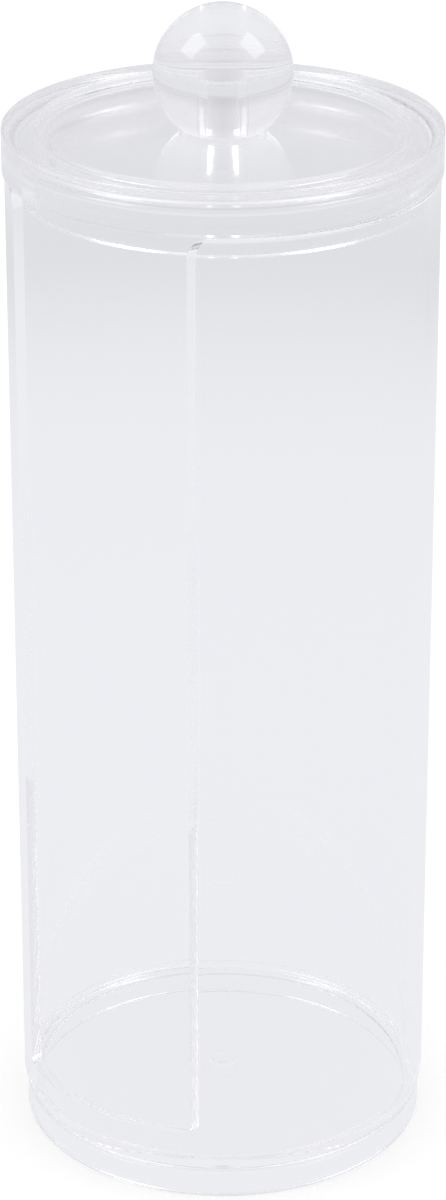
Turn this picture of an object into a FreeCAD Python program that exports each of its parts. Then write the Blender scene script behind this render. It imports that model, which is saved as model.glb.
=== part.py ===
"""Clear dispenser for round cotton pads: a round jar with an upright slot, a plug lid and a ball knob.

The jar stands on the XY plane with its axis on +Z, and its slot faces -Y. Lengths are in millimetres.
"""
import FreeCAD
import Part

import math
import os
import re

import Sketcher

# Driving dimensions. Each one is written here once and becomes a named cell of the spreadsheet.
SIZES = {
    # jar wall
    "jar_radius": 35.0,
    "wall_thickness": 2.0,
    "wall_top_height": 171.6,
    "wall_edge_round": 0.3,
    "wall_lead_round": 1.4,
    # jar floor and foot
    "floor_top_height": 7.0,
    "floor_thickness": 2.4,
    "floor_corner_round": 1.0,
    "foot_step_height": 7.5,
    "foot_step_depth": 0.55,
    "foot_ring_width": 1.6,
    "foot_corner_round": 1.5,
    "foot_edge_round": 0.25,
    # moulding stub in the middle of the floor
    "stub_radius": 2.5,
    "stub_rise": 0.6,
    "stub_round": 0.3,
    # upright slot
    "slot_width": 36.2,
    "sill_height": 12.4,
    "slot_foot_round": 1.0,
    "slot_mouth_round": 3.5,
    # lid plate and rim
    "lid_overhang": 0.4,
    "lid_rim_height": 7.2,
    "lid_edge_round": 0.3,
    "lid_seat_round": 0.3,
    "rim_width": 5.4,
    "recess_depth": 1.0,
    "recess_round": 0.45,
    "plate_thickness": 1.4,
    # lid plug, which drops inside the jar's wall
    "plug_clearance": 0.3,
    "plug_depth": 3.9,
    "plug_thickness": 2.5,
    "plug_edge_round": 0.3,
    "plug_corner_round": 2.4,
    # knob, and the low pad and the peg that carry it
    "knob_radius": 11.25,
    "knob_centre_rise": 8.8,
    "pad_radius": 6.0,
    "pad_rise": 0.5,
    "peg_radius": 2.4,
    "peg_rise": 8.2,
    "peg_round": 0.3,
    "peg_clearance": 0.1,
    "bore_end_gap": 0.3,
}

SAME = 1e-4  # two lengths closer than this are the same length
ORIGIN = (-1, 1)  # a sketch's own origin, as (geometry, point)
START, END = 1, 2  # the points of a sketch's edge


def linked(formula):
    """Return a formula of driving dimensions with each name pointed at its spreadsheet cell."""
    return re.sub(r"[a-z_]+", lambda word: "Sizes." + word[0] if word[0] in SIZES else word[0], formula)


def make_sheet(document):
    """Put every driving dimension into a named cell of the document's spreadsheet."""
    sheet = document.addObject("Spreadsheet::Sheet", "Sizes")
    for row, (name, value) in enumerate(SIZES.items(), start=1):
        sheet.set(f"A{row}", name)
        sheet.set(f"B{row}", str(value))
        sheet.setAlias(f"B{row}", name)
    document.recompute()


def make_body(document, name, seat=None):
    """Add a body for one sub-part; seat is the formula of the height that its own frame stands at."""
    body = document.addObject("PartDesign::Body", name)
    body.Label = name
    if seat:
        body.setExpression("Placement.Base.z", linked(seat))
    return body


def add_sketch(body, name):
    """Add a sketch on the body's XZ plane: its x is the radius or +X and its y is the height."""
    sketch = body.newObject("Sketcher::SketchObject", name)
    plane = next(item for item in body.Origin.OriginFeatures if item.Role == "XZ_Plane")
    sketch.AttachmentSupport = (plane, [""])
    sketch.MapMode = "FlatFace"
    return sketch


def pin(sketch, edge, point, across, height):
    """Fix one point of a sketch by its formulas for the distance across and the height."""
    for kind, formula in (("DistanceX", across), ("DistanceY", height)):
        constraint = sketch.addConstraint(Sketcher.Constraint(kind, *ORIGIN, edge, point, 1.0))
        sketch.setExpression(f"Constraints[{constraint}]", linked(formula))


def draw_outline(sketch, corners):
    """Draw a closed outline of straight edges through corners given as (across, height) formulas."""
    count = len(corners)
    spots = [FreeCAD.Vector(math.cos(turn), math.sin(turn), 0)
             for turn in (2 * math.pi * index / count for index in range(count))]
    for index in range(count):
        sketch.addGeometry(Part.LineSegment(spots[index], spots[(index + 1) % count]), False)
    for index, (across, height) in enumerate(corners):
        sketch.addConstraint(Sketcher.Constraint("Coincident", index, END, (index + 1) % count, START))
        pin(sketch, index, START, across, height)


def round_corner(sketch, edge, size):
    """Round the corner at the start of one edge of an outline to one named size."""
    sketch.fillet(edge, START, SIZES[size], True, True)
    arc = max(index for index, item in enumerate(sketch.Geometry) if isinstance(item, Part.ArcOfCircle))
    constraint = sketch.addConstraint(Sketcher.Constraint("Radius", arc, SIZES[size]))
    sketch.setExpression(f"Constraints[{constraint}]", linked(size))


def revolve(body, sketch):
    """Turn a sketch about the body's upright axis."""
    turned = body.newObject("PartDesign::Revolution", "Turned_" + body.Name)
    turned.Profile = sketch
    turned.ReferenceAxis = (sketch, ["V_Axis"])
    turned.Angle = 360.0
    body.Document.recompute()


def round_rings(body, rings, size):
    """Round the whole-circle edges that have the given (radius, height), all to one named size."""
    base = body.Tip
    edges = []
    for number, edge in enumerate(base.Shape.Edges, start=1):
        curve = edge.Curve
        if isinstance(curve, Part.Circle) and any(
                abs(curve.Radius - radius) < SAME and abs(curve.Center.z - height) < SAME
                for radius, height in rings):
            edges.append(f"Edge{number}")
    if len(edges) != len(rings):
        raise RuntimeError(f"{body.Label}: {len(edges)} of {len(rings)} edges found for {size}")
    fillet = body.newObject("PartDesign::Fillet", f"{body.Name}_{size}")
    fillet.Base = (base, edges)
    fillet.setExpression("Radius", linked(size))
    body.Document.recompute()


def make_jar(document):
    """The jar: wall, floor with its moulding stub, recessed foot and the upright slot."""
    body = make_body(document, "jar")
    inner = "jar_radius - wall_thickness"
    foot = "jar_radius - foot_step_depth"
    foot_inner = "jar_radius - foot_step_depth - foot_ring_width"
    underside = "floor_top_height - floor_thickness"
    stub_top = "floor_top_height + stub_rise"
    section = add_sketch(body, "JarSection")
    draw_outline(section, [
        ("0", underside),
        (foot_inner, underside),
        (foot_inner, "0"),
        (foot, "0"),
        (foot, "foot_step_height"),
        ("jar_radius", "foot_step_height"),
        ("jar_radius", "wall_top_height"),
        (inner, "wall_top_height"),
        (inner, "floor_top_height"),
        ("stub_radius", "floor_top_height"),
        ("stub_radius", stub_top),
        ("0", stub_top),
    ])
    revolve(body, section)

    inner_radius = SIZES["jar_radius"] - SIZES["wall_thickness"]
    foot_radius = SIZES["jar_radius"] - SIZES["foot_step_depth"]
    foot_inner_radius = foot_radius - SIZES["foot_ring_width"]
    floor_top = SIZES["floor_top_height"]
    wall_top = SIZES["wall_top_height"]
    round_rings(body, [(SIZES["jar_radius"], wall_top)], "wall_edge_round")
    round_rings(body, [(inner_radius, wall_top)], "wall_lead_round")
    round_rings(body, [(inner_radius, floor_top)], "floor_corner_round")
    round_rings(body, [(foot_inner_radius, floor_top - SIZES["floor_thickness"])], "foot_corner_round")
    round_rings(body, [(foot_inner_radius, 0), (foot_radius, 0),
                       (SIZES["jar_radius"], SIZES["foot_step_height"])], "foot_edge_round")
    round_rings(body, [(SIZES["stub_radius"], floor_top + SIZES["stub_rise"])], "stub_round")
    cut_slot(body)
    return body


def cut_slot(body):
    """Cut the slot straight through the -Y wall, open at the top, with round foot and mouth corners."""
    sketch = add_sketch(body, "SlotOutline")
    half = "slot_width / 2"
    above = "wall_top_height + slot_mouth_round"
    draw_outline(sketch, [
        (f"-{half}", "sill_height"),
        (half, "sill_height"),
        (half, "wall_top_height"),
        ("jar_radius", "wall_top_height"),
        ("jar_radius", above),
        ("-jar_radius", above),
        ("-jar_radius", "wall_top_height"),
        (f"-{half}", "wall_top_height"),
    ])
    body.Document.recompute()
    for edge, size in ((0, "slot_foot_round"), (1, "slot_foot_round"),
                       (2, "slot_mouth_round"), (7, "slot_mouth_round")):
        round_corner(sketch, edge, size)
    solid_volume = body.Shape.Volume
    slot = body.newObject("PartDesign::Pocket", "Slot")
    slot.Profile = sketch
    slot.Type = "ThroughAll"
    slot.Reversed = True
    body.Document.recompute()
    if not slot.Shape.Volume < solid_volume:
        raise RuntimeError("the slot cuts nothing")


def make_lid(document):
    """The lid: plate with a raised rim, plug skirt, and the pad and peg that carry the knob."""
    body = make_body(document, "lid", seat="wall_top_height")
    plug = "jar_radius - wall_thickness - plug_clearance"
    plug_inner = f"{plug} - plug_thickness"
    lid_edge = "jar_radius + lid_overhang"
    rim_inner = f"{lid_edge} - rim_width"
    recess_floor = "lid_rim_height - recess_depth"
    underside = f"{recess_floor} - plate_thickness"
    pad_top = f"{recess_floor} + pad_rise"
    peg_top = f"{pad_top} + peg_rise"
    section = add_sketch(body, "LidSection")
    draw_outline(section, [
        ("0", underside),
        (plug_inner, underside),
        (plug_inner, "-plug_depth"),
        (plug, "-plug_depth"),
        (plug, "0"),
        (lid_edge, "0"),
        (lid_edge, "lid_rim_height"),
        (rim_inner, "lid_rim_height"),
        (rim_inner, recess_floor),
        ("pad_radius", recess_floor),
        ("pad_radius", pad_top),
        ("peg_radius", pad_top),
        ("peg_radius", peg_top),
        ("0", peg_top),
    ])
    revolve(body, section)

    plug_radius = SIZES["jar_radius"] - SIZES["wall_thickness"] - SIZES["plug_clearance"]
    plug_inner_radius = plug_radius - SIZES["plug_thickness"]
    plug_end = -SIZES["plug_depth"]
    lid_radius = SIZES["jar_radius"] + SIZES["lid_overhang"]
    rim_inner_radius = lid_radius - SIZES["rim_width"]
    rim = SIZES["lid_rim_height"]
    recess = rim - SIZES["recess_depth"]
    round_rings(body, [(lid_radius, rim)], "lid_edge_round")
    round_rings(body, [(lid_radius, 0)], "lid_seat_round")
    round_rings(body, [(rim_inner_radius, rim), (rim_inner_radius, recess)], "recess_round")
    round_rings(body, [(plug_inner_radius, recess - SIZES["plate_thickness"])], "plug_corner_round")
    round_rings(body, [(plug_radius, plug_end), (plug_inner_radius, plug_end)], "plug_edge_round")
    round_rings(body, [(SIZES["peg_radius"], recess + SIZES["pad_rise"] + SIZES["peg_rise"])], "peg_round")
    return body


def make_knob(document):
    """The knob: a ball cut flat where it stands on the lid's pad, with a blind bore for the lid's peg."""
    ball = document.addObject("Part::Sphere", "Ball")
    ball.setExpression("Radius", linked("knob_radius"))
    ball.setExpression("Angle1", linked("-asin(knob_centre_rise / knob_radius)"))
    ball.setExpression("Placement.Base.z", linked("knob_centre_rise"))
    bore = document.addObject("Part::Cylinder", "PegBore")
    bore.setExpression("Radius", linked("peg_radius + peg_clearance"))
    bore.setExpression("Height", linked("peg_rise + bore_end_gap"))
    knob = document.addObject("Part::Cut", "knob")
    knob.Label = "knob"
    knob.Base = ball
    knob.Tool = bore
    knob.setExpression("Placement.Base.z", linked("wall_top_height + lid_rim_height - recess_depth + pad_rise"))
    return knob


def check(document, nodes):
    """Stop if any object of the document failed, or if a sub-part isn't one valid solid."""
    document.recompute()
    for item in document.Objects:
        if "Invalid" in item.State or "Error" in item.State:
            raise RuntimeError(f"{item.Label} failed: {item.State}")
    for node in nodes:
        if node.Shape.isNull() or not node.Shape.isValid() or len(node.Shape.Solids) != 1:
            raise RuntimeError(f"{node.Label} isn't one valid solid")


def main():
    document = FreeCAD.newDocument("cotton_pad_holder")
    make_sheet(document)
    nodes = [make_jar(document), make_lid(document), make_knob(document)]
    check(document, nodes)
    os.makedirs("parts", exist_ok=True)
    for node in nodes:
        node.Shape.exportStep(f"parts/{node.Label}.step")
        box = node.Shape.BoundBox
        print(f"{node.Label}: {node.Shape.Volume:.1f} mm3, z {box.ZMin:.2f} to {box.ZMax:.2f}")


main()
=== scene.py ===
"""Clear round dispenser for cotton pads: jar with an upright slot, plug lid and ball knob.

One geometry-nodes tree turns each piece from its section. The faces then get the exact surface
normals, because clear plastic shows every fault of its shading as a bend in what is seen through
it. Lengths are in metres.
"""

import math

import bmesh
import bpy
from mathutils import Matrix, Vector


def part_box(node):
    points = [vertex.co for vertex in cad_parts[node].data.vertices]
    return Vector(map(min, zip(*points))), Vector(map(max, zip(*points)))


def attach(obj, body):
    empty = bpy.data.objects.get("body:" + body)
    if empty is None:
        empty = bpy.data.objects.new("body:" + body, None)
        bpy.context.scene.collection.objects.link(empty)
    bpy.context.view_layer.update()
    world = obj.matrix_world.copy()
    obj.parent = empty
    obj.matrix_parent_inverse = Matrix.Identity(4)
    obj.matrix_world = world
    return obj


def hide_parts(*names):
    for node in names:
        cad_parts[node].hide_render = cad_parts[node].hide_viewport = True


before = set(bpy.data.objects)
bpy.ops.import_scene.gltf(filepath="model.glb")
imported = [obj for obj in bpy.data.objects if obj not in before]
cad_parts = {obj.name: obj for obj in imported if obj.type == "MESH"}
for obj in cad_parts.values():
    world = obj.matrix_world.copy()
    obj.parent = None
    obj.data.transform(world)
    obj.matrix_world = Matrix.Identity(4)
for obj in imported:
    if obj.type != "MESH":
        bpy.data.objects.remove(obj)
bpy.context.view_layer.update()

MM = 0.001

# Sizes read from the frame
JAR_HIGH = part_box("jar")[1]
LID_LOW, LID_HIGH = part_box("lid")
KNOB_LOW, KNOB_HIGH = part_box("knob")
JAR_RADIUS = JAR_HIGH.x
WALL_TOP = JAR_HIGH.z
LID_RADIUS = LID_HIGH.x
PLUG_END = LID_LOW.z
PEG_TOP = LID_HIGH.z
PAD_TOP = KNOB_LOW.z
KNOB_TOP = KNOB_HIGH.z
KNOB_RADIUS = KNOB_HIGH.x

# Jar section
WALL = 2.0 * MM
WALL_EDGE_ROUND = 0.3 * MM
WALL_LEAD_ROUND = 1.4 * MM
FLOOR_TOP = 7.0 * MM
FLOOR = 2.4 * MM
FLOOR_CORNER_ROUND = 1.0 * MM
STEP_HEIGHT = 7.5 * MM
STEP_DEPTH = 0.55 * MM
FOOT_RING = 1.6 * MM
FOOT_CORNER_ROUND = 1.5 * MM
FOOT_EDGE_ROUND = 0.25 * MM
STUB_RADIUS = 2.5 * MM
STUB_RISE = 0.6 * MM
STUB_ROUND = 0.3 * MM

# Slot
SLOT_WIDTH = 36.2 * MM
SILL = 12.4 * MM
SLOT_FOOT_ROUND = 1.0 * MM
SLOT_MOUTH_ROUND = 3.5 * MM
SLOT_LEDGE_GAP = 0.002 * MM  # keeps the cutter's ledge off the wall's flat top

# Lid section
RIM_RISE = 7.2 * MM
RECESS_DEPTH = 1.0 * MM
LID_EDGE_ROUND = 0.3 * MM
LID_SEAT_ROUND = 0.3 * MM
RIM_WIDTH = 5.4 * MM
RECESS_ROUND = 0.45 * MM
PLATE = 1.4 * MM
PLUG_CLEARANCE = 0.3 * MM
PLUG_THICKNESS = 2.5 * MM
PLUG_EDGE_ROUND = 0.3 * MM
PLUG_CORNER_ROUND = 2.4 * MM
PAD_RADIUS = 6.0 * MM
PEG_RADIUS = 2.4 * MM
PEG_ROUND = 0.3 * MM

# Knob
BORE_CLEARANCE = 0.1 * MM
BORE_END_GAP = 0.3 * MM

# Left between pieces that rest on each other, so that each face bends light by itself
AIR_FILM = 0.02 * MM

FLATS = 360  # in a full turn
WELD = 0.001 * MM  # points closer than this become one
ON_AXIS = 1e-7  # a point closer to the axis than this is on it
BALL_STEPS = 64  # of the ball's arc, from its foot to its top
ARC_STEP = math.radians(11.5)  # most that one step of a rounded corner turns


# ------------------------------------------------------------------------------------------------
# Outlines. A station is a point of an outline, with the outward normals just before and just
# after it.
# ------------------------------------------------------------------------------------------------
def right_of(direction):
    """The normal on the right of a direction in the plane."""
    return Vector((direction.y, -direction.x))


def turned(direction, angle):
    """A direction in the plane turned anticlockwise by an angle."""
    cosine, sine = math.cos(angle), math.sin(angle)
    return Vector((direction.x * cosine - direction.y * sine,
                   direction.x * sine + direction.y * cosine))


def rounded_corner(point, arriving, leaving, radius):
    """Stations of the arc that rounds one corner, for a solid on the left of the way round."""
    bend = math.atan2(arriving.cross(leaving), arriving.dot(leaving))
    side = math.copysign(1, bend)
    reach = radius * math.tan(abs(bend) / 2)
    centre = point - arriving * reach - side * right_of(arriving) * radius
    steps = max(2, math.ceil(abs(bend) / ARC_STEP))
    stations = []
    for step in range(steps + 1):
        normal = right_of(turned(arriving, bend * step / steps))
        stations.append((centre + side * normal * radius, normal, normal))
    return stations


def outline(corners, closed=False):
    """Stations of an outline through corners (across, height, round), the solid on its left."""
    points = [Vector(corner[:2]) for corner in corners]
    count = len(points)
    stations = []
    for index, (point, corner) in enumerate(zip(points, corners)):
        arriving = (point - points[index - 1]).normalized()
        leaving = (points[(index + 1) % count] - point).normalized()
        first = not closed and index == 0
        last = not closed and index == count - 1
        if corner[2]:
            stations += rounded_corner(point, arriving, leaving, corner[2])
        else:
            stations.append((point, right_of(leaving if first else arriving),
                             right_of(arriving if last else leaving)))
    return stations


def ball_outline(centre_height, radius, foot_radius):
    """Stations of the ball's arc from its flat foot up to its top."""
    start = -math.acos(foot_radius / radius)
    stations = []
    for step in range(BALL_STEPS + 1):
        angle = start + (math.pi / 2 - start) * step / BALL_STEPS
        normal = Vector((math.cos(angle), math.sin(angle)))
        stations.append((Vector((0, centre_height)) + normal * radius, normal, normal))
    return stations


# ------------------------------------------------------------------------------------------------
# Meshes
# ------------------------------------------------------------------------------------------------
def link(tree, source, target):
    tree.links.new(source, target)


def new_object(name, data):
    made = bpy.data.objects.new(name, data)
    bpy.context.scene.collection.objects.link(made)
    return made


def turning_tree():
    """Geometry nodes that turn an outline about Z, from the outline's points in XZ, axis to axis.

    Each face's "band" attribute says which stretch of the outline it was turned from.
    """
    tree = bpy.data.node_groups.new("turned_from_outline", "GeometryNodeTree")
    for name, kind in (("Outline", "Geometry"), ("Flats", "Int"),
                       ("Weld", "Float"), ("Plastic", "Material")):
        tree.interface.new_socket(name, in_out="INPUT", socket_type="NodeSocket" + kind)
    tree.interface.new_socket("Turned", in_out="OUTPUT", socket_type="NodeSocketGeometry")
    given = tree.nodes.new("NodeGroupInput").outputs

    def node(kind, sources, **settings):
        """A new node's outputs; a source is a socket to link or a value to set."""
        made = tree.nodes.new(kind)
        for setting, value in settings.items():
            setattr(made, setting, value)
        for socket, source in sources.items():
            if isinstance(source, bpy.types.NodeSocket):
                link(tree, source, made.inputs[socket])
            else:
                made.inputs[socket].default_value = source
        return made.outputs

    def worked_out(operation, *values):
        return node("ShaderNodeMath", dict(enumerate(values)), operation=operation)[0]

    def rows_before(index, length):
        """How many whole rows of a length come before an index."""
        return worked_out("FLOOR", worked_out("DIVIDE", worked_out("ADD", index, 0.5), length))

    # A grid with a row for each point of the outline and a column for each turn
    points = node("GeometryNodeAttributeDomainSize", {"Geometry": given["Outline"]})["Point Count"]
    columns = worked_out("ADD", given["Flats"], 1.0)
    grid = node("GeometryNodeMeshGrid", {"Vertices X": points, "Vertices Y": columns})["Mesh"]
    index = node("GeometryNodeInputIndex", {})["Index"]
    face_row = rows_before(index, given["Flats"])
    banded = node("GeometryNodeStoreNamedAttribute",
                  {"Geometry": grid, "Name": "band", "Value": face_row},
                  data_type="INT", domain="FACE")["Geometry"]

    # Each row goes to its point of the outline, and each column to its angle
    row = rows_before(index, columns)
    column = worked_out("SUBTRACT", index, worked_out("MULTIPLY", row, columns))
    angle = worked_out("DIVIDE", worked_out("MULTIPLY", column, 2 * math.pi), given["Flats"])
    place = node("GeometryNodeInputPosition", {})["Position"]
    outline_point = node("GeometryNodeSampleIndex",
                         {"Geometry": given["Outline"], "Value": place, "Index": row},
                         data_type="FLOAT_VECTOR", domain="POINT")["Value"]
    turned_point = node("ShaderNodeVectorRotate", {"Vector": outline_point, "Angle": angle},
                        rotation_type="Z_AXIS")["Vector"]
    shaped = node("GeometryNodeSetPosition",
                  {"Geometry": banded, "Position": turned_point})["Geometry"]

    # The seam and the poles are welded shut, and the faces turned outwards
    closed = node("GeometryNodeMergeByDistance",
                  {"Geometry": shaped, "Distance": given["Weld"]})["Geometry"]
    outward = node("GeometryNodeFlipFaces", {"Mesh": closed})["Mesh"]
    real = node("GeometryNodeRealizeInstances", {"Geometry": outward})["Geometry"]
    dressed = node("GeometryNodeSetMaterial",
                   {"Geometry": real, "Material": given["Plastic"]})["Geometry"]
    link(tree, dressed, tree.nodes.new("NodeGroupOutput").inputs["Turned"])
    return tree


def turned_piece(name, stations, tree, plastic):
    """An object whose outline mesh the tree's modifier turns into the piece."""
    mesh = bpy.data.meshes.new(name)
    mesh.from_pydata([(point.x, 0, point.y) for point, _, _ in stations], [], [])
    piece = new_object(name, mesh)
    turning = piece.modifiers.new("turning", "NODES")
    turning.node_group = tree
    values = {"Flats": FLATS, "Weld": WELD, "Plastic": plastic}
    for socket in tree.interface.items_tree:
        if socket.name in values:
            turning[socket.identifier] = values[socket.name]
    return piece


def prism(name, stations, y_low, y_high, first_band):
    """A closed outline in XZ pushed along Y, its side faces' bands numbered from the first."""
    mesh = bpy.data.meshes.new(name)
    work = bmesh.new()
    band = work.faces.layers.int.new("band")
    near = [work.verts.new((point.x, y_low, point.y)) for point, _, _ in stations]
    far = [work.verts.new((point.x, y_high, point.y)) for point, _, _ in stations]
    work.faces.new(near)[band] = first_band
    work.faces.new(far[::-1])[band] = first_band
    count = len(stations)
    for index in range(count):
        after = (index + 1) % count
        corners = (near[after], near[index], far[index], far[after])
        work.faces.new(corners)[band] = first_band + index
    work.to_mesh(mesh)
    work.free()
    return new_object(name, mesh)


def cut_away(piece, cutter):
    """Leave a cut on a piece, by a mesh that is dropped once the piece is finished."""
    cut = piece.modifiers.new("cut", "BOOLEAN")
    cut.operation = "DIFFERENCE"
    cut.solver = "EXACT"
    cut.object = cutter


def finished(piece, cutters=()):
    """Turn a piece and its modifiers into a plain mesh, and drop its cutters."""
    evaluated = piece.evaluated_get(bpy.context.evaluated_depsgraph_get())
    solid = bpy.data.meshes.new_from_object(evaluated)
    if solid.materials[0] is None:  # the grid's own empty slot
        solid.materials.pop(index=0)
    piece.modifiers.clear()
    piece.data = solid
    for cutter in cutters:
        bpy.data.objects.remove(cutter)


def band_normal(stations, index, spot):
    """The outline's normal at a spot on the stretch after one station."""
    start, _, first = stations[index]
    end, last, _ = stations[(index + 1) % len(stations)]
    along = end - start
    share = (spot - start).dot(along) / along.length_squared
    return first.lerp(last, min(max(share, 0.0), 1.0)).normalized()


def exact_normals(piece, turned_stations, cut_stations=()):
    """Give every face corner the normal of the true surface, in place of an average of flats."""
    mesh = piece.data
    bands = mesh.attributes["band"].data
    normals = [Vector((0, 0, 1))] * len(mesh.loops)
    for face in mesh.polygons:
        band = bands[face.index].value
        face.use_smooth = True
        for loop in face.loop_indices:
            spot = mesh.vertices[mesh.loops[loop].vertex_index].co
            if band < len(turned_stations):
                radius = math.hypot(spot.x, spot.y)
                flat = band_normal(turned_stations, band, Vector((radius, spot.z)))
                around = Vector((spot.x, spot.y)) / radius if radius > ON_AXIS else Vector((0, 0))
                normal = Vector((flat.x * around.x, flat.x * around.y, flat.y))
            else:
                cut_band = band - len(turned_stations)
                flat = band_normal(cut_stations, cut_band, Vector((spot.x, spot.z)))
                normal = Vector((-flat.x, 0, -flat.y))
            normals[loop] = normal
    mesh.attributes.remove(mesh.attributes["band"])
    mesh.normals_split_custom_set(normals)


# ------------------------------------------------------------------------------------------------
# Pieces
# ------------------------------------------------------------------------------------------------
def make_jar(turning, plastic):
    """The jar: one clear moulding with a recessed foot, and a slot cut through its wall."""
    inner = JAR_RADIUS - WALL
    foot = JAR_RADIUS - STEP_DEPTH
    seat = WALL_TOP - AIR_FILM
    section = outline([
        (0, FLOOR_TOP - FLOOR, 0),
        (foot - FOOT_RING, FLOOR_TOP - FLOOR, FOOT_CORNER_ROUND),
        (foot - FOOT_RING, 0, FOOT_EDGE_ROUND),
        (foot, 0, FOOT_EDGE_ROUND),
        (foot, STEP_HEIGHT, 0),
        (JAR_RADIUS, STEP_HEIGHT, FOOT_EDGE_ROUND),
        (JAR_RADIUS, seat, WALL_EDGE_ROUND),
        (inner, seat, WALL_LEAD_ROUND),
        (inner, FLOOR_TOP, FLOOR_CORNER_ROUND),
        (STUB_RADIUS, FLOOR_TOP, 0),
        (STUB_RADIUS, FLOOR_TOP + STUB_RISE, STUB_ROUND),
        (0, FLOOR_TOP + STUB_RISE, 0),
    ])
    # The cutter widens over the wall's top, which leaves the corners of the slot's mouth round
    half = SLOT_WIDTH / 2
    ledge = seat + SLOT_LEDGE_GAP
    above = seat + SLOT_MOUTH_ROUND
    slot = outline([
        (-half, SILL, SLOT_FOOT_ROUND),
        (half, SILL, SLOT_FOOT_ROUND),
        (half, ledge, SLOT_MOUTH_ROUND),
        (JAR_RADIUS, ledge, 0),
        (JAR_RADIUS, above, 0),
        (-JAR_RADIUS, above, 0),
        (-JAR_RADIUS, ledge, 0),
        (-half, ledge, SLOT_MOUTH_ROUND),
    ], closed=True)
    jar = turned_piece("clear_jar", section, turning, plastic)
    cutter = prism("slot_cutter", slot, -JAR_RADIUS - WALL, 0, len(section))
    cut_away(jar, cutter)
    finished(jar, [cutter])
    exact_normals(jar, section, slot)
    return jar


def make_lid(turning, plastic):
    """The lid: plate with a raised rim, plug skirt, and the pad and peg that carry the knob."""
    plug = JAR_RADIUS - WALL - PLUG_CLEARANCE
    rim = WALL_TOP + RIM_RISE
    recess = rim - RECESS_DEPTH
    section = outline([
        (0, recess - PLATE, 0),
        (plug - PLUG_THICKNESS, recess - PLATE, PLUG_CORNER_ROUND),
        (plug - PLUG_THICKNESS, PLUG_END, PLUG_EDGE_ROUND),
        (plug, PLUG_END, PLUG_EDGE_ROUND),
        (plug, WALL_TOP, 0),
        (LID_RADIUS, WALL_TOP, LID_SEAT_ROUND),
        (LID_RADIUS, rim, LID_EDGE_ROUND),
        (LID_RADIUS - RIM_WIDTH, rim, RECESS_ROUND),
        (LID_RADIUS - RIM_WIDTH, recess, RECESS_ROUND),
        (PAD_RADIUS, recess, 0),
        (PAD_RADIUS, PAD_TOP, 0),
        (PEG_RADIUS, PAD_TOP, 0),
        (PEG_RADIUS, PEG_TOP, PEG_ROUND),
        (0, PEG_TOP, 0),
    ])
    lid = turned_piece("clear_lid", section, turning, plastic)
    finished(lid)
    exact_normals(lid, section)
    return lid


def make_knob(turning, plastic):
    """The knob: clear ball with a flat foot and a blind bore over the lid's peg."""
    centre = KNOB_TOP - KNOB_RADIUS
    bore = PEG_RADIUS + BORE_CLEARANCE
    foot = PAD_TOP + AIR_FILM
    foot_radius = math.sqrt(KNOB_RADIUS ** 2 - (centre - foot) ** 2)
    section = outline([
        (0, PEG_TOP + BORE_END_GAP, 0),
        (bore, PEG_TOP + BORE_END_GAP, 0),
        (bore, foot, 0),
        (foot_radius, foot, 0),
    ])
    # The foot's outer edge is also the start of the ball's arc
    ball = ball_outline(centre, KNOB_RADIUS, foot_radius)
    point, before, _ = section.pop()
    section.append((point, before, ball[0][2]))
    section += ball[1:]
    knob = turned_piece("clear_knob", section, turning, plastic)
    finished(knob)
    exact_normals(knob, section)
    return knob


# ------------------------------------------------------------------------------------------------
# Materials
# ------------------------------------------------------------------------------------------------
PLASTIC_IOR = 1.56
# Colour of a faint painted glow that each clear face gives off, as if it were lit
PAINTED_GLOW_COLOUR = (0.97, 0.97, 1.0, 1)
WEAR_SCALE = 90.0  # patches of wear to a metre
WEAR_DETAIL = 3.0
WEAR_COARSENESS = 0.6
WEAR_RANGE = (0.4, 0.75)  # values of the noise from the least worn to the most
WAVE_SCALE = 60.0  # waves to a metre, round the piece
WAVE_DETAIL = 1.0
WAVE_STRETCH = (1.0, 1.0, 0.25)  # longer up the piece, as the plastic flowed


def noise(tree, place, scale, detail):
    """A noise texture at a place in the piece."""
    texture = tree.nodes.new("ShaderNodeTexNoise")
    texture.inputs["Scale"].default_value = scale
    texture.inputs["Detail"].default_value = detail
    link(tree, place, texture.inputs["Vector"])
    return texture


def mapped(tree, value, source, target=(0.0, 1.0)):
    """A value carried from one range, given by its ends, to another."""
    ranges = tree.nodes.new("ShaderNodeMapRange")
    ranges.inputs["From Min"].default_value, ranges.inputs["From Max"].default_value = source
    ranges.inputs["To Min"].default_value, ranges.inputs["To Max"].default_value = target
    link(tree, value, ranges.inputs["Value"])
    return ranges.outputs["Result"]


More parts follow.
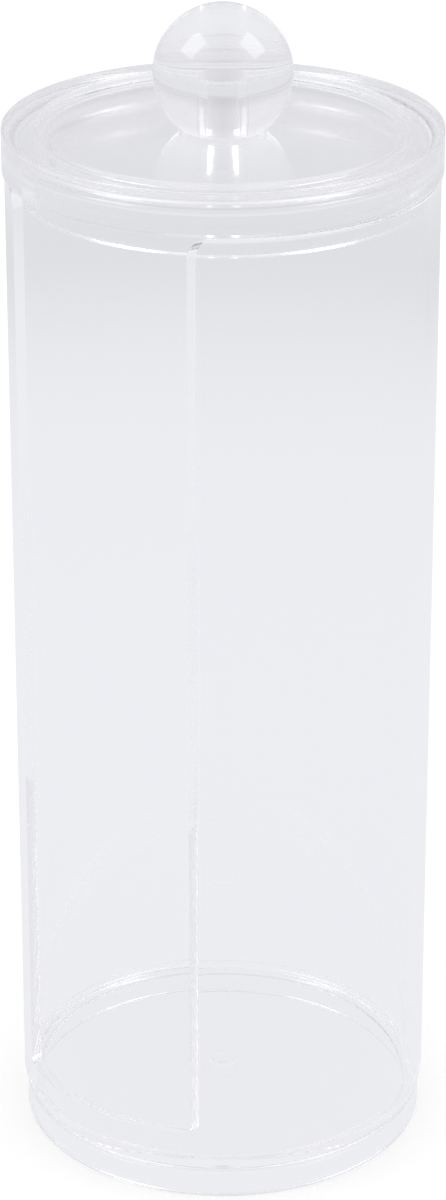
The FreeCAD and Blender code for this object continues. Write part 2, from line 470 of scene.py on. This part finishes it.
def clear_plastic(name, tint, painted_glow, wave, wear):
    """Polished clear plastic, with moulding waves in its gloss and wear that dulls it in places.

    tint is the level of the base colour, painted_glow is the strength of a faint painted glow that
    a face gives off as if it were lit, in place of the light it would scatter, and which lightens
    the dark lines where light is caught in the walls; wave is the height of the waves in metres,
    and wear is the roughness of the most worn places; with none, the face is a clean polish.
    """
    material = bpy.data.materials.new(name)
    material.use_nodes = True
    tree = material.node_tree
    shader = tree.nodes["Principled BSDF"]
    shader.inputs["Base Color"].default_value = (tint, tint, tint, 1)
    shader.inputs["IOR"].default_value = PLASTIC_IOR
    shader.inputs["Transmission Weight"].default_value = 1.0
    # A faint painted glow on every face, in place of the light the plastic would scatter
    shader.inputs["Emission Color"].default_value = PAINTED_GLOW_COLOUR
    shader.inputs["Emission Strength"].default_value = painted_glow
    shader.inputs["Roughness"].default_value = 0.0
    place = tree.nodes.new("ShaderNodeTexCoord").outputs["Object"]

    if wear > 0:
        patches = noise(tree, place, WEAR_SCALE, WEAR_DETAIL)
        patches.inputs["Roughness"].default_value = WEAR_COARSENESS
        dulled = mapped(tree, patches.outputs["Fac"], WEAR_RANGE, (wear / 2, wear))
        link(tree, dulled, shader.inputs["Roughness"])

    stretched = tree.nodes.new("ShaderNodeMapping")
    stretched.inputs["Scale"].default_value = WAVE_STRETCH
    link(tree, place, stretched.inputs["Vector"])
    waves = noise(tree, stretched.outputs["Vector"], WAVE_SCALE, WAVE_DETAIL)
    bump = tree.nodes.new("ShaderNodeBump")
    bump.inputs["Distance"].default_value = wave
    link(tree, waves.outputs["Fac"], bump.inputs["Height"])
    link(tree, bump.outputs["Normal"], shader.inputs["Normal"])
    return material


# Each piece's glow strength is a painted glow, strongest on the lid
FINISHES = {
    "jar": {"tint": 0.995, "painted_glow": 0.0003, "wave": 0.01 * MM, "wear": 0.0},
    "lid": {"tint": 0.98, "painted_glow": 0.004, "wave": 0.003 * MM, "wear": 0.1},
    "knob": {"tint": 0.99, "painted_glow": 0.003, "wave": 0.003 * MM, "wear": 0.04},
}

turning = turning_tree()
for make, node, body in ((make_jar, "jar", "holder"), (make_lid, "lid", "cover"),
                         (make_knob, "knob", "cover")):
    piece = make(turning, clear_plastic(node + "_plastic", **FINISHES[node]))
    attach(piece, body)
    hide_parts(node)


# ------------------------------------------------------------------------------------------------
# Stage
# ------------------------------------------------------------------------------------------------
CAMERA_AZIMUTH = math.radians(40.3)
CAMERA_DISTANCE = 0.6061  # from the piece's axis, along the floor
CAMERA_HEIGHT = 0.3687
CAMERA_TILT = math.radians(24.26)
CAMERA_LENS = 118.8  # in millimetres, as the sensor is
CAMERA_SENSOR = 36
CAMERA_NEAR = 0.01

FLOOR_REACH = 3.0  # to each side of the piece
FLOOR_DROP = 0.05 * MM  # below the foot, so that the two faces don't meet
MATTE_COLOUR = (0.95, 0.95, 0.95, 1)
MATTE_SHARE = 0.35  # of what the camera sees of the floor, which keeps the soft shadow
OPEN_LIGHT = 1.15  # level of the dome as a light

# What clear plastic shows of the floor and the dome: painted tones, with painted shade and painted
# light in them. The camera itself sees both as white. The tones are faintly cool.
FLOOR_CAST = (0.952, 0.959, 1.0)
DOME_CAST = (0.958, 0.956, 1.0)
# Painted level by the distance from the piece's axis: painted shade in a ring near 0.47, light near
# 0.57
FLOOR_PAINTED_LEVELS = ((0.0, 0.885), (0.12, 0.9), (0.25, 0.895), (0.38, 0.87), (0.47, 0.71),
                (0.57, 0.94), (0.75, 0.8), (1.6, 0.8))
# Painted level by the sine of the elevation, darkest at the horizon
DOME_PAINTED_LEVELS = ((0.0, 0.72), (0.12, 0.84), (0.45, 0.83), (0.6, 0.9), (0.75, 1.0), (1.0, 1.05))
# Share of that level, by how far a direction points to either side of the camera's line of sight;
# above 1, a painted bright window
SIDE_WINDOW_SHARES = ((0.0, 0.87), (0.2, 0.9), (0.35, 1.3), (0.6, 1.3), (0.8, 0.95), (1.0, 0.95))

# Two equal soft boxes, one on either side of the camera
BOX_AZIMUTH = math.radians(76)  # from the camera's own
BOX_ELEVATION = math.radians(49)
BOX_DISTANCE = 1.0
BOX_SIZE = (0.48, 0.54)
BOX_RADIANCE = 2.0

BOUNCES = 128  # clear walls behind clear walls need many


def mixed(tree, share, first, second):
    """The second shader where the share is 1 and the first where it is 0."""
    mix = tree.nodes.new("ShaderNodeMixShader")
    link(tree, share, mix.inputs[0])
    link(tree, first.outputs[0], mix.inputs[1])
    link(tree, second.outputs[0], mix.inputs[2])
    return mix


def ray_kinds(tree):
    """Sockets that are 1 for a camera ray, and for a ray that a gloss or a clear piece sends on."""
    path = tree.nodes.new("ShaderNodeLightPath")
    both = tree.nodes.new("ShaderNodeMath")
    both.operation = "MAXIMUM"
    link(tree, path.outputs["Is Glossy Ray"], both.inputs[0])
    link(tree, path.outputs["Is Transmission Ray"], both.inputs[1])
    return path.outputs["Is Camera Ray"], both.outputs[0]


def level_ramp(tree, value, levels, cast, name):
    """A tone that changes smoothly with a value; levels are (value, level) pairs."""
    low, high = levels[0][0], levels[-1][0]
    ramp = tree.nodes.new("ShaderNodeValToRGB")
    ramp.name = name
    ramp.color_ramp.interpolation = "B_SPLINE"
    while len(ramp.color_ramp.elements) < len(levels):
        ramp.color_ramp.elements.new(0.5)
    for element, (at, level) in zip(ramp.color_ramp.elements, levels):
        element.position = (at - low) / (high - low)
        element.color = (*(level * share for share in cast), 1)
    link(tree, mapped(tree, value, (low, high)), ramp.inputs["Fac"])
    return ramp.outputs["Color"]


def make_floor():
    """A white floor that keeps the soft shadow, and that plastic shows as a pale tone."""
    mesh = bpy.data.meshes.new("floor")
    corners = [(x * FLOOR_REACH, y * FLOOR_REACH, -FLOOR_DROP)
               for x, y in ((-1, -1), (1, -1), (1, 1), (-1, 1))]
    mesh.from_pydata(corners, [], [(0, 1, 2, 3)])
    floor = new_object("floor", mesh)
    material = bpy.data.materials.new("floor")
    material.use_nodes = True
    tree = material.node_tree
    tree.nodes.clear()
    place = tree.nodes.new("ShaderNodeTexCoord").outputs["Object"]
    distance = tree.nodes.new("ShaderNodeVectorMath")
    distance.operation = "LENGTH"
    link(tree, place, distance.inputs[0])
    # Painted shade and light in rings round the piece, which only clear plastic shows
    pale = tree.nodes.new("ShaderNodeEmission")
    tone = level_ramp(tree, distance.outputs["Value"], FLOOR_PAINTED_LEVELS, FLOOR_CAST, "floor_painted_levels")
    link(tree, tone, pale.inputs["Color"])
    white = tree.nodes.new("ShaderNodeEmission")
    matte = tree.nodes.new("ShaderNodeBsdfDiffuse")
    matte.inputs["Color"].default_value = MATTE_COLOUR
    kept = tree.nodes.new("ShaderNodeMixShader")
    kept.inputs[0].default_value = MATTE_SHARE
    link(tree, white.outputs[0], kept.inputs[1])
    link(tree, matte.outputs[0], kept.inputs[2])
    camera_ray, clear_ray = ray_kinds(tree)
    seen = mixed(tree, camera_ray, mixed(tree, clear_ray, matte, pale), kept)
    link(tree, seen.outputs[0], tree.nodes.new("ShaderNodeOutputMaterial").inputs["Surface"])
    mesh.materials.append(material)


def make_world():
    """A plain light dome, white behind the piece and pale where plastic mirrors and bends it.

    The pale tone is painted shade and light: darkest at the horizon, with a broad painted bright
    window on either side of the camera's line of sight at rest.
    """
    world = bpy.data.worlds.new("studio")
    bpy.context.scene.world = world
    world.use_nodes = True
    tree = world.node_tree
    tree.nodes.clear()
    place = tree.nodes.new("ShaderNodeTexCoord").outputs["Generated"]
    split = tree.nodes.new("ShaderNodeSeparateXYZ")
    link(tree, place, split.inputs[0])
    across = tree.nodes.new("ShaderNodeVectorMath")
    across.operation = "DOT_PRODUCT"
    across.inputs[1].default_value = (math.cos(CAMERA_AZIMUTH), math.sin(CAMERA_AZIMUTH), 0)
    link(tree, place, across.inputs[0])
    side = tree.nodes.new("ShaderNodeMath")
    side.operation = "ABSOLUTE"
    link(tree, across.outputs["Value"], side.inputs[0])
    # Painted shade, darkest at the horizon, and painted bright windows to the sides, which only
    # clear plastic shows
    tone = level_ramp(tree, split.outputs["Z"], DOME_PAINTED_LEVELS, DOME_CAST, "dome_painted_levels")
    share = level_ramp(tree, side.outputs[0], SIDE_WINDOW_SHARES, (1, 1, 1), "side_painted_windows")
    windowed = tree.nodes.new("ShaderNodeVectorMath")
    windowed.operation = "MULTIPLY"
    link(tree, tone, windowed.inputs[0])
    link(tree, share, windowed.inputs[1])
    pale = tree.nodes.new("ShaderNodeBackground")
    link(tree, windowed.outputs["Vector"], pale.inputs["Color"])
    light = tree.nodes.new("ShaderNodeBackground")
    light.inputs["Color"].default_value = (OPEN_LIGHT, OPEN_LIGHT, OPEN_LIGHT, 1)
    white = tree.nodes.new("ShaderNodeBackground")
    white.inputs["Color"].default_value = (1, 1, 1, 1)
    camera_ray, clear_ray = ray_kinds(tree)
    seen = mixed(tree, camera_ray, mixed(tree, clear_ray, light, pale), white)
    link(tree, seen.outputs[0], tree.nodes.new("ShaderNodeOutputWorld").inputs["Surface"])


def make_soft_box(name, side):
    """A rectangular lamp that faces the piece, on the camera's left (-1) or right (1)."""
    lamp = bpy.data.lights.new(name, "AREA")
    lamp.shape = "RECTANGLE"
    lamp.size, lamp.size_y = BOX_SIZE
    lamp.energy = BOX_RADIANCE * math.pi * BOX_SIZE[0] * BOX_SIZE[1]
    turn = CAMERA_AZIMUTH + side * BOX_AZIMUTH
    level = math.cos(BOX_ELEVATION)
    back = Vector((math.sin(turn) * level, -math.cos(turn) * level, math.sin(BOX_ELEVATION)))
    box = new_object(name, lamp)
    box.location = back * BOX_DISTANCE + Vector((0, 0, WALL_TOP / 2))
    box.rotation_euler = back.to_track_quat("Z", "Y").to_euler()


def make_camera():
    lens = bpy.data.cameras.new("camera")
    lens.sensor_width = CAMERA_SENSOR
    lens.lens = CAMERA_LENS
    lens.clip_start = CAMERA_NEAR
    camera = new_object("camera", lens)
    camera.location = (CAMERA_DISTANCE * math.sin(CAMERA_AZIMUTH),
                       -CAMERA_DISTANCE * math.cos(CAMERA_AZIMUTH), CAMERA_HEIGHT)
    camera.rotation_euler = (math.pi / 2 - CAMERA_TILT, 0, CAMERA_AZIMUTH)
    bpy.context.scene.camera = camera


make_camera()
make_floor()
make_world()
make_soft_box("left_box", -1)
make_soft_box("right_box", 1)
bpy.context.scene.view_settings.view_transform = "Standard"
bpy.context.scene.cycles.max_bounces = BOUNCES
bpy.context.scene.cycles.transmission_bounces = BOUNCES
bpy.context.scene.cycles.glossy_bounces = BOUNCES
